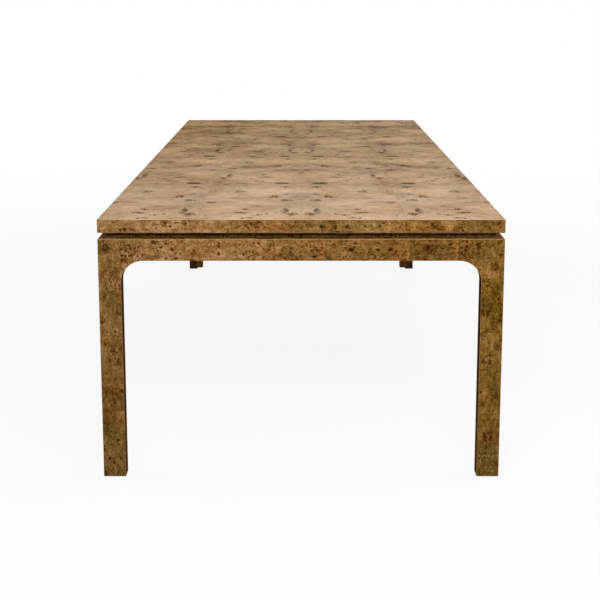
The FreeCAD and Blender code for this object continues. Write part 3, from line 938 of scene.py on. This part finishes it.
# clusters on the two slices of the top: slice, place on the leaf and half the size
topClusters = [
    (1, 0.062, 0.279, 0.028, 0.012), (1, 0.042, 0.209, 0.019, 0.013), (1, 0.197, 0.128, 0.016, 0.015),
    (1, 0.047, 0.085, 0.008, 0.011), (1, 0.086, 0.047, 0.015, 0.019),
    (0, 0.047, 0.120, 0.012, 0.031), (0, 0.025, 0.080, 0.019, 0.017), (0, 0.164, 0.151, 0.012, 0.013),
    (0, 0.178, 0.097, 0.015, 0.012), (0, 0.127, 0.068, 0.019, 0.010), (0, 0.100, 0.080, 0.008, 0.010),
    (0, 0.150, 0.023, 0.017, 0.010), (0, 0.046, 0.286, 0.019, 0.013), (0, 0.272, 0.256, 0.016, 0.012),
]

# marks of the near end: place across the table, level and half the size, all in metres
endMarks = {
    "clusters": [
        (-0.478, 0.672, 0.030, 0.030), (-0.416, 0.695, 0.016, 0.008), (-0.2575, 0.688, 0.038, 0.013),
        (-0.150, 0.670, 0.020, 0.014), (-0.047, 0.698, 0.006, 0.006), (-0.030, 0.676, 0.014, 0.012),
        (0.216, 0.676, 0.008, 0.007), (0.368, 0.680, 0.034, 0.018), (-0.122, 0.743, 0.042, 0.014),
        (-0.510, 0.730, 0.024, 0.008), (0.445, 0.745, 0.018, 0.010), (-0.524, 0.590, 0.020, 0.030),
        (-0.528, 0.370, 0.012, 0.040), (0.523, 0.495, 0.016, 0.012), (0.530, 0.345, 0.022, 0.030),
        (0.536, 0.130, 0.022, 0.022), (0.456, 0.676, 0.016, 0.034),
    ],
    "knots": [
        (-0.549, 0.682, 0.011, 0.013), (0.545, 0.626, 0.010, 0.011), (0.556, 0.392, 0.007, 0.009),
        (-0.499, 0.646, 0.010, 0.007), (-0.406, 0.657, 0.010, 0.006), (0.2505, 0.676, 0.006, 0.005),
    ],
    "rings": [(0.141, 0.676, 0.036, 0.030), (-0.355, 0.663, 0.016, 0.011), (0.037, 0.656, 0.013, 0.012)],
    "eyes": [
        (-0.484, 0.689, 0.006, 0.004), (-0.506, 0.677, 0.006, 0.003), (-0.492, 0.673, 0.005, 0.003),
        (-0.503, 0.659, 0.005, 0.004), (-0.482, 0.658, 0.005, 0.003), (-0.498, 0.697, 0.003, 0.003),
        (-0.453, 0.696, 0.003, 0.003), (-0.416, 0.699, 0.006, 0.004), (-0.403, 0.699, 0.003, 0.003),
        (-0.403, 0.673, 0.004, 0.003), (0.418, 0.692, 0.006, 0.004), (0.355, 0.680, 0.004, 0.003),
        (0.399, 0.679, 0.003, 0.003), (0.329, 0.664, 0.004, 0.003), (-0.494, 0.737, 0.005, 0.004),
        (-0.322, 0.750, 0.004, 0.003), (0.367, 0.750, 0.005, 0.004), (0.456, 0.750, 0.004, 0.003),
        (0.440, 0.739, 0.003, 0.003), (0.096, 0.739, 0.005, 0.006), (0.102, 0.728, 0.006, 0.003),
        (-0.565, 0.465, 0.004, 0.006), (-0.513, 0.260, 0.004, 0.004), (0.517, 0.349, 0.004, 0.003),
        (0.517, 0.324, 0.004, 0.003), (0.532, 0.498, 0.004, 0.003),
    ],
    "pits": [
        (0.141, 0.676, 0.006, 0.005), (0.037, 0.656, 0.006, 0.005), (0.057, 0.742, 0.006, 0.005),
        (0.128, 0.742, 0.006, 0.005), (0.2505, 0.676, 0.005, 0.004),
    ],
}


def ellipse(at, mark):
    # distance from a mark's middle, 1 at its edge
    middle, reach = (mark[0], mark[1], 0), (mark[2], mark[3], 1)
    return at.vector("SUBTRACT", middle).vector("DIVIDE", reach).length()


def nearest(at, marks):
    gap = ellipse(at, marks[0])
    for mark in marks[1:]:
        gap = gap.least(ellipse(at, mark))
    return gap


def covered(ground, amount, cover):
    # another colour laid over the ground where the amount says, by its share
    shade, share = cover
    return (amount * share).tint(ground, shade)


def eyesOf(at, look, cluster):
    # one eye to a cell: most cells have one in a cluster, and few elsewhere
    its = burlSettings["eyes"]
    stretched = at.times(look["eyeStretch"])
    found = []
    for scale, size in look["eyeCells"]:
        inputs = {"Vector": stretched, "Scale": scale, "Randomness": 1.0}
        cell = at.add("ShaderNodeTexVoronoi", {"voronoi_dimensions": "2D"}, inputs, "Distance")
        chance, spread, _ = cell.also("Color").parts()
        there = (chance + cluster * its["pull"] + look["scatter"]).rise(*its["chance"])
        found.append((cell / spread.span(size * its["smallest"], size)).rise(*its["edge"]) * there)
    eyes = found[0]
    for eye in found[1:]:
        eyes = eyes.most(eye)
    return eyes


def noises(at, look):
    # several noises that move the wood along its ramp
    stretched = at["curled"].times(burlSettings["strandStretch"])
    places = {"haze": at["object"], "clouds": at["curled"], "mottle": at["fine"],
              "strands": stretched, "flecks": at["fine"]}
    figure = 0.0
    for kind, place in places.items():
        figure = figure + (place.noise(*burlSettings[kind]) - 0.5) * look["weights"][kind]
    return figure


def growthLines(at, look, cluster):
    its = burlSettings["lines"]
    scale, count = look["growthLines"]
    inCluster = cluster * at["rough"].noise(*its["clusterNoise"]) * its["clusterCount"]
    return (at["fine"].noise(scale) * count + inCluster).waves(1).rise(*its["rise"])


def ringed(at, rings, figure, lines, eyes):
    # growth lines give way to the rings of a large knot
    its = knotSettings
    for ring in rings:
        gap = ellipse(at["log"].bent(*its["ringCurl"]), ring)
        wave = gap.waves(its["rings"]).rise(*its["ringRise"]) * gap.rise(*its["ringEdge"])
        figure = figure - wave * its["ringDepth"]
        lines = lines * gap.rise(*its["ringClears"])
        eyes = eyes.most(gap.rise(*its["ringCore"]))
    return figure, lines, eyes


def knotted(rough, marks, figure, eyes):
    # small knots are filled dark, with broken rings round them
    its = knotSettings
    gap = nearest(rough, marks["knots"])
    wave = gap.waves(*its["knotRings"]).rise(*its["knotRise"]) * gap.rise(*its["knotEdge"])
    figure = figure - gap.rise(*its["fillEdge"]) * its["fillDepth"]
    figure = figure - wave * rough.patches(*its["breaks"]) * its["knotDepth"]
    eyes = eyes.most(nearest(rough, marks["eyes"]).rise(*its["eyeEdge"]))
    pits = nearest(rough, marks["pits"])
    figure = figure - pits.rise(*its["pitHalo"]) * its["pitDepth"]
    return figure, eyes, pits.rise(*its["pitEdge"])


def stained(ground, curled, tone, look):
    # soft patches of other colours, more of them on dark leaves
    its = burlSettings
    for stain, (factors, share) in look["stains"].items():
        curled = curled.vector("ADD", its["stainShift"])
        scale, low, high = its["stains"][stain]
        there = (curled.noise(scale, *its["stainNoise"]) - tone * its["stainTone"]).rise(low, high)
        ground = covered(ground, there, (ground.times(factors), share))
    return ground


def shaded(ground, at, its):
    # a little darker and lighter in large clouds
    return ground.scaled(at.noise(*its["clouds"]).span(*its["shade"]))


def seams(start, log):
    # glue lines between the leaves: up to 1 at a joint, and broken here and there
    gaps = attribute(start, "joints", "Color")
    first, second, third = gaps.parts()
    gap = first.least(second).least(third).least(gaps.also("Alpha"))
    return gap.rise(*burlSettings["joint"]) * log.patches(*burlSettings["seamBreaks"])


def burl(name, look, marks):
    its = burlSettings
    start = newMaterial(name)
    log = attribute(start, "log")
    tone, hue, wearAndHighlight = attribute(start, "leafSort").parts()
    curled = log.bent(*its["curl"])
    share = its["fineShare"]
    halfway = curled.scaled(share).vector("ADD", log.scaled(1 - share))
    at = {"log": log, "object": objectPlace(start), "curled": curled,
          "fine": halfway.bent(*its["fineCurl"]), "rough": log.bent(*its["roughCurl"])}

    figure = noises(at, look)
    if "boldness" in look:
        figure = figure * hue.span(*look["boldness"])
    figure = figure + tone * its["toneReach"] + look["level"]
    cluster = curled.patches(*its["clusters"]) * look["random"]
    if marks:
        cluster = cluster.most(nearest(at["fine"], marks["clusters"]).rise(*its["clusterEdge"]))
    figure = figure - cluster * at["rough"].patches(*its["halos"]) * look["haloDepth"]
    eyes = eyesOf(at["rough"], look, cluster)
    lines = growthLines(at, look, cluster)
    figure, lines, eyes = ringed(at, marks.get("rings", ()), figure, lines, eyes)
    figure = figure - lines * curled.patches(*its["linePatches"]) * look["lineDepth"]
    # round the eyes the lines are dark and light in turn
    figure = figure - (lines - its["lines"]["middle"]) * cluster * look["curlDepth"]
    if "knots" in marks:
        figure, eyes, pits = knotted(at["rough"], marks, figure, eyes)

    ground = figure.ramp(look["ramp"]).times(look["tint"])
    ground = hue.tint(ground, ground.times(look["yellow"]))
    ground = covered(stained(ground, curled, tone, look), eyes, look["eye"])
    if "knots" in marks:
        ground = covered(ground, pits, look["pit"])
    seam = seams(start, log)
    # eased arrises are painted lighter, wear with a painted highlight, and the joints go darker
    ground = covered(covered(ground, wearAndHighlight, look["wearAndHighlight"]), seam, look["joint"])

    roughness = log.noise(*its["dullness"]).span(*its["roughness"])
    pores = log.noise(*its["pores"])
    height = pores * its["poreHeight"] - seam * its["seamDepth"]
    return finished(name, start, look, ground, roughness, height)


# Timber, board, metal and plastic of the pieces that show from below

woodSettings = {
    "beech": {"pale": colour(206, 166, 122), "dark": colour(172, 128, 86), "grain": (6, 90, 90)},
    "board": {"pale": colour(190, 158, 112), "dark": colour(150, 118, 78), "grain": (90, 90, 5)},
    "backing": {"pale": colour(184, 148, 108), "dark": colour(146, 110, 76), "grain": (110, 4, 110)},
}
# noises are scale, detail and roughness, patches also say where they rise from 0 to 1
timberSettings = {
    "curl": (3, 0.010), "bands": (1.0, 5, 0.6), "bandRise": (0.3, 0.7),
    "pores": (9, 2, 0.7), "poreRise": (0.58, 0.72), "poreShare": 0.5,
    "clouds": (2.2, 2), "shade": (0.92, 1.08), "roughness": (0.55, 0.70), "gloss": 0.3, "relief": 0.0001,
}


def timber(name, look):
    its = timberSettings
    start = newMaterial(name)
    at = objectPlace(start)
    bands = at.bent(*its["curl"]).times(look["grain"]).noise(*its["bands"])
    pores = at.times(look["grain"]).noise(*its["pores"])
    ground = bands.rise(*its["bandRise"]).tint(look["pale"], look["dark"])
    ground = covered(ground, pores.rise(*its["poreRise"]), (look["dark"], its["poreShare"]))
    ground = shaded(ground, at, its)
    return finished(name, start, its, ground, bands.span(*its["roughness"]), pores * -1.0)


plySettings = {
    "plies": 13, "face": colour(204, 168, 124), "cross": colour(158, 118, 78), "glue": colour(96, 68, 44),
    "faceGrain": (90, 5, 90), "crossGrain": (8, 90, 90), "fibre": (1.0, 4, 0.6), "fibreRise": (0.3, 0.7),
    "crossShare": 0.6, "glueRise": (0.10, 0.02), "glueFrom": (0.2, 0.4), "glueShare": 0.6, "slack": 0.001,
    "clouds": (3, 3), "shade": (0.94, 1.06), "roughness": (0.6, 0.7), "gloss": 0.3, "relief": 0.0001,
}


def plywood(name):
    # plies run across in turn; the outer two show their long grain
    its = plySettings
    start = newMaterial(name)
    at = objectPlace(start)
    ply = (at.parts()[2] - apronTop) * (its["plies"] / (slabBottom - apronTop))
    isCross = start.sum("MODULO", start.sum("FLOOR", ply + its["slack"]), 2)
    long, cross = [at.times(its[grain]).noise(*its["fibre"]) for grain in ("faceGrain", "crossGrain")]
    face = long.rise(*its["fibreRise"]).tint(its["face"], its["cross"])
    ground = isCross.tint(face, covered(its["cross"], cross, (its["glue"], its["crossShare"])))
    glue = start.sum("FRACT", ply).rise(*its["glueRise"]) * ply.rise(*its["glueFrom"])
    ground = covered(ground, glue, (its["glue"], its["glueShare"]))
    ground = shaded(ground, at, its)
    return finished(name, start, its, ground, long.span(*its["roughness"]), long)


fibreSettings = {
    "ground": colour(176, 140, 96), "fibre": colour(140, 104, 66), "curl": (60, 0.004),
    "fibres": (700, 4, 0.75), "fibreRise": (0.4, 0.65), "clouds": (9, 3), "shade": (0.95, 1.05),
    "roughness": (0.75, 0.85), "gloss": 0.25, "relief": 0.00015,
}


def fibreboard(name):
    its = fibreSettings
    start = newMaterial(name)
    at = objectPlace(start)
    fibres = at.bent(*its["curl"]).noise(*its["fibres"])
    ground = fibres.rise(*its["fibreRise"]).tint(its["ground"], its["fibre"])
    ground = shaded(ground, at, its)
    return finished(name, start, its, ground, fibres.span(*its["roughness"]), fibres)


metalSettings = {
    "zinc": {"pale": colour(206, 200, 170), "dark": colour(160, 150, 110), "roughness": 0.32},
    "nail": {"pale": colour(176, 178, 182), "dark": colour(120, 122, 128), "roughness": 0.38},
    "bloom": (260, 4, 0.6), "bloomRise": (0.35, 0.7), "bloomDulls": 0.15,
    "scratches": (1.0, 2, 0.6), "scratchStretch": (900, 900, 120), "scratchDulls": 0.1,
    "gloss": 0.5, "relief": 0.00003,
}


def metal(name, look):
    its = metalSettings
    start = newMaterial(name)
    at = objectPlace(start)
    bloom = at.noise(*its["bloom"])
    scratches = at.times(its["scratchStretch"]).noise(*its["scratches"])
    ground = bloom.rise(*its["bloomRise"]).tint(look["pale"], look["dark"])
    roughness = look["roughness"] + bloom * its["bloomDulls"] + scratches * its["scratchDulls"]
    return finished(name, start, its, ground, roughness, scratches, metallic=1.0)


nylonSettings = {
    "ground": colour(60, 50, 44), "scuff": colour(96, 86, 78), "scuffShare": 0.6, "clouds": (180, 4, 0.6),
    "curl": (90, 0.004), "scuffs": (420, 3, 0.7, 0.58, 0.72), "roughness": (0.50, 0.65), "gloss": 0.4,
    "relief": 0.00005,
}


def nylon(name):
    its = nylonSettings
    start = newMaterial(name)
    at = objectPlace(start)
    cloud = at.noise(*its["clouds"])
    scuffs = at.bent(*its["curl"]).patches(*its["scuffs"])
    ground = covered(its["ground"], scuffs, (its["scuff"], its["scuffShare"]))
    return finished(name, start, its, ground, cloud.span(*its["roughness"]), cloud + scuffs)


def dress(slot, material):
    # a node whose solid shape is right keeps it and takes the material
    for node, itsSlot in slotOf.items():
        if itsSlot == slot:
            for socket in frame["nodes"][node].material_slots:
                socket.material = material


# Build

veneerSheets = {each["name"] + "_face_veneer": [faceSheet(each)] for each in baseFrames}
for each in baseFrames:
    veneerSheets["top_edge_band_" + each["name"].split("_")[0]] = [slabEdgeSheet(each)]
for each in baseFrames:
    veneerSheets[each["name"] + "_inside_veneer"] = [insideSheet(each)]
veneerSheets["ledge_veneer"] = [ledgeSheet(each) for each in baseFrames]
veneerSheets["reveal_veneer"] = [revealSheet(each) for each in baseFrames]
for node, (tones, hues) in endLeaves.items():
    for leaf, tone, hue in zip(veneerSheets[node][0]["leaves"], tones, hues):
        leaf["tone"], leaf["hue"] = tone, hue
# the apron's last joint gapes a little
nearLeaves = veneerSheets["near_end_face_veneer"][0]["leaves"]
nearLeaves[leafSettings["openLeaf"]]["sides"] = ("joint", "open", "arris", "arris")
print("leaves laid out:", sum(len(s["leaves"]) for sheets in veneerSheets.values() for s in sheets))


def onLog(marks):
    # marks of the near end as places on the log, by the leaf that each falls on
    sheets = veneerSheets["near_end_face_veneer"] + veneerSheets["top_edge_band_near"]
    found = []
    for x, level, wide, high in marks:
        leaf = next(filter(None, (leafAt(sheet, x, level, 0) for sheet in sheets)))
        along, across, _ = figureOf(leaf, x, level, 0)
        found.append((along, across, *((high, wide) if leaf["turned"] else (wide, high))))
    return found


endPlaces = {kind: onLog(marks) for kind, marks in endMarks.items()}
wider, longer = topLook["clusterSize"]
topPlaces = [(cut + u, v, wide * wider, high * longer) for cut, u, v, wide, high in topClusters]
burlBase = burl("burl veneer", baseLook, {})
burlNear = burl("burl veneer of the near end", nearLook, endPlaces)
burlLining = burl("burl veneer of the openings", liningShadeLook, {})
burlTop = burl("burl top veneer", topLook, {"clusters": topPlaces})
burlOf = {
    "near_end_face_veneer": burlNear,
    "top_edge_band_near": burlNear,
    "reveal_veneer": burl("burl veneer of the reveal", revealShadeLook, {}),
    "ledge_veneer": burl("burl veneer of the ledge", ledgeShadeLook, {}),
}
print("burl made")

for node, sheets in veneerSheets.items():
    handIn(veneered(node, sheets), burlOf.get(node, burlBase), node)
lining = liningTree()
for each in baseFrames:
    handIn(liningPiece(each, lining, burlLining), burlLining, each["name"] + "_arch_lining")
field = leafFieldTree()
for side, node in ((-1, "top_veneer_left"), (1, "top_veneer_right")):
    handIn(topPiece(node, side, field, burlTop), burlTop, node)
print("veneers made")

dress("hardwood", timber("beech", woodSettings["beech"]))
dress("frame_board", timber("frame board", woodSettings["board"]))
dress("backing_veneer", timber("backing veneer", woodSettings["backing"]))
dress("plywood", plywood("spacer plywood"))
dress("fibreboard", fibreboard("slab fibreboard"))
zinc = metal("zinc plated steel", metalSettings["zinc"])
screws = screwTree()
for node in ("base_screws", "slab_screws"):
    handIn(screwPiece(node, screws, zinc), zinc, node)
dress("nail_steel", metal("nail steel", metalSettings["nail"]))
dress("nylon", nylon("glide nylon"))
print("timber, metal and nylon dressed")


# Stage: pale floor, soft light, white surroundings

stageSettings = {
    "floorSize": 60.0,
    "floorColour": colour(232, 232, 230),
    "bounceColour": colour(66, 64, 61),
    "surroundings": 0.15,
    "floorGlow": (0.88, 1.0),
    "glowReach": (1.4, 5.0),
}
lampSettings = [
    {"name": "key", "at": (0.1, -2.9, 2.1), "aim": (0, -1.2, 1.05), "size": (1.8, 0.8), "power": 56},
    {"name": "overhead", "at": (0.5, -0.7, 3.2), "aim": (0.2, -0.7, 0.7), "size": (2.0, 1.6), "power": 15},
    {"name": "back", "at": (0.7, 4.6, 1.7), "aim": (0, 1.0, 0.6), "size": (2.4, 1.8), "power": 70},
    {"name": "right", "at": (4.4, -0.3, 2.0), "aim": (0.4, 0, 0.5), "size": (3.0, 1.8), "power": 98},
    {"name": "left", "at": (-4.4, 0.0, 2.0), "aim": (-0.4, 0, 0.5), "size": (3.0, 1.8), "power": 76},
]


def whiteForCamera(start):
    # 1 where the camera looks, straight or by way of gloss or glass
    ray = start.add("ShaderNodeLightPath", {}, {}, "Is Camera Ray")
    return (ray + ray.also("Is Glossy Ray") + ray.also("Is Transmission Ray")).least(1)


def makeFloor():
    half = stageSettings["floorSize"] / 2
    mesh = bpy.data.meshes.new("floor")
    corners = [(u, v, 0) for u, v in oblong((-half, half), (-half, half))]
    mesh.from_pydata(corners, [], [(0, 1, 2, 3)])
    floor = newObject("floor", mesh)
    start = newMaterial("pale floor")
    white = whiteForCamera(start)
    ground = white.tint(stageSettings["bounceColour"], stageSettings["floorColour"])
    matt = start.add("ShaderNodeBsdfDiffuse", {}, {"Color": ground})
    glow = start.add("ShaderNodeEmission", {}, {"Color": (1, 1, 1, 1), "Strength": 1.0})
    # the glow hides the floor's far edge, and the shadow stays near the table
    away = objectPlace(start).length().rise(*stageSettings["glowReach"])
    both = {0: white * away.span(*stageSettings["floorGlow"]), 1: matt, 2: glow}
    shader = start.add("ShaderNodeMixShader", {}, both)
    start.add("ShaderNodeOutputMaterial", {}, {"Surface": shader})
    mesh.materials.append(bpy.data.materials["pale floor"])


def makeSurroundings():
    world = bpy.data.worlds.new("surroundings")
    start = emptyNodes(world)
    light, white = [start.add("ShaderNodeBackground", {}, {"Color": (1, 1, 1, 1), "Strength": strength})
                    for strength in (stageSettings["surroundings"], 1.0)]
    both = start.add("ShaderNodeMixShader", {}, {0: whiteForCamera(start), 1: light, 2: white})
    start.add("ShaderNodeOutputWorld", {}, {"Surface": both})
    bpy.context.scene.world = world


def makeLamp(lamp):
    data = bpy.data.lights.new(lamp["name"], "AREA")
    data.shape = "RECTANGLE"
    data.size, data.size_y = lamp["size"]
    data.energy = lamp["power"]
    light = newObject(lamp["name"], data)
    light.location = lamp["at"]
    towards = Vector(lamp["aim"]) - Vector(lamp["at"])
    light.rotation_euler = towards.to_track_quat("-Z", "Y").to_euler()


cameraSettings = {
    "before": 2.887,
    "height": 1.374,
    "pitch": 8.51,
    "lens": 63.28,
    "shift": (-0.002, -0.24),
}


def makeCamera():
    data = bpy.data.cameras.new("camera")
    data.lens = cameraSettings["lens"]
    data.shift_x, data.shift_y = cameraSettings["shift"]
    camera = newObject("camera", data)
    camera.location = (0, -halfLength - cameraSettings["before"], cameraSettings["height"])
    camera.rotation_euler = (math.radians(90 - cameraSettings["pitch"]), 0, 0)
    bpy.context.scene.camera = camera


makeFloor()
makeSurroundings()
for lamp in lampSettings:
    makeLamp(lamp)
makeCamera()
bpy.context.scene.view_settings.view_transform = "Standard"
print("stage, lamps and camera set")
